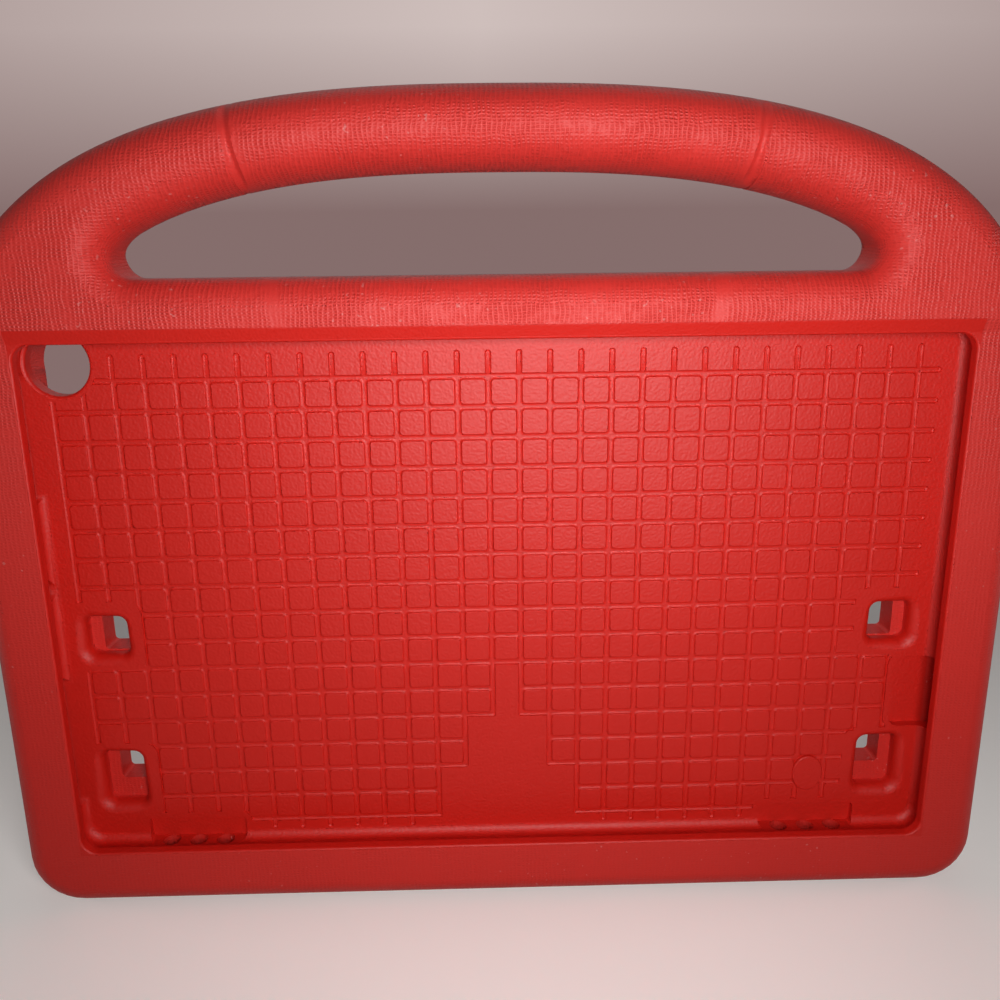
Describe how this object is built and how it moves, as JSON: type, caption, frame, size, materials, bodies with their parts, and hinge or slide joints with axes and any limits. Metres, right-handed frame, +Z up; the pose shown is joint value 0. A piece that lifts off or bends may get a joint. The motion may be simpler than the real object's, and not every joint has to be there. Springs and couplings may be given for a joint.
{
  "type": "kids tablet case with handle",
  "caption": "Thick moulded foam case for a ten inch tablet, with an arched carrying handle, a soft lip round the screen, a waffle patterned panel, side ports and stand sockets.",
  "frame": {"origin": "on the surface that the case stands on, under the middle of its overall box", "axes": "+X to the right as seen from the front, +Y from the screen side to the back, +Z up to the handle"},
  "size_m": [0.291, 0.028, 0.2349],
  "materials": {
    "foam": "satin moulded foam with a fine linen grain on the outside"
  },
  "bodies": {
    "root": {"foam_case": "foam"}
  },
  "joints": []
}
